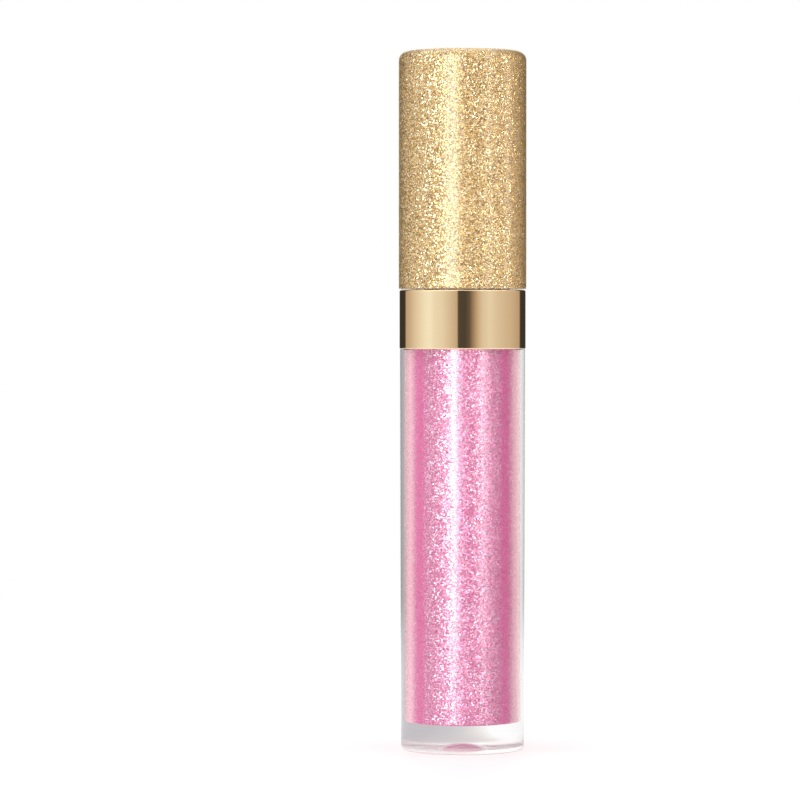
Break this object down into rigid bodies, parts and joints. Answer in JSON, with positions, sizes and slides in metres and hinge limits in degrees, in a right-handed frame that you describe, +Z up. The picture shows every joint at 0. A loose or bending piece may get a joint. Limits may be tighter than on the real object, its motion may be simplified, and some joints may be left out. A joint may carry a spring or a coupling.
{
  "type": "lip gloss tube",
  "caption": "Clear round bottle of gloss with a metal-look collar and a glittered screw cap that carries a flocked doe-foot applicator wand.",
  "frame": {"origin": "centre of the bottle's underside, on the surface that the tube stands on", "axes": "+Z up along the tube's axis towards the cap; the front faces -Y; the slanted face of the applicator tip faces +X"},
  "size_m": [0.0184, 0.0184, 0.1002],
  "materials": {
    "clear_bottle": "clear polished plastic, 3.4 mm thick",
    "pink_gloss": "pearly pink gloss with fine multicoloured glitter",
    "gold_metal": "mirror-polished pale gold metallising",
    "gold_glitter": "fine gold and champagne glitter coating under lacquer",
    "white_plastic": "satin white moulded plastic",
    "wiper_plastic": "soft translucent plastic",
    "gasket_foam": "white closed-cell foam",
    "clear_stem": "clear polished plastic tube",
    "core_plastic": "translucent blue-white moulded plastic",
    "pink_flock": "short flocked fibres stained pink, wet with gloss on the slanted face"
  },
  "bodies": {
    "bottle_body": {"bottle": "clear_bottle", "gloss_fill": "pink_gloss", "collar": "gold_metal", "wiper": "wiper_plastic"},
    "gasket_body": {"neck_gasket": "gasket_foam"},
    "stem_body": {"stem": "clear_stem"},
    "cap_body": {"cap_shell": "gold_glitter", "inner_cap": "white_plastic", "applicator_core": "core_plastic", "flock_tip": "pink_flock"}
  },
  "joints": [
    {"name": "cap_lift", "type": "slide", "parent": "bottle_body", "child": "gasket_body", "axis": [0, 0, 1], "range_m": [0, 0.08], "deforming": ["wiper"]},
    {"name": "cap_rise", "type": "slide", "parent": "gasket_body", "child": "stem_body", "axis": [0, 0, 1], "range_m": [0, 0.0045]},
    {"name": "cap_turn", "type": "hinge", "parent": "stem_body", "child": "cap_body", "pos_m": [0, 0, 0.0662], "axis": [0, 0, 1], "range_deg": [0, 648]}
  ],
  "couplings": [
    {"joint": "cap_rise", "follows": "cap_turn", "m_per_rad": 0.00039789}
  ]
}
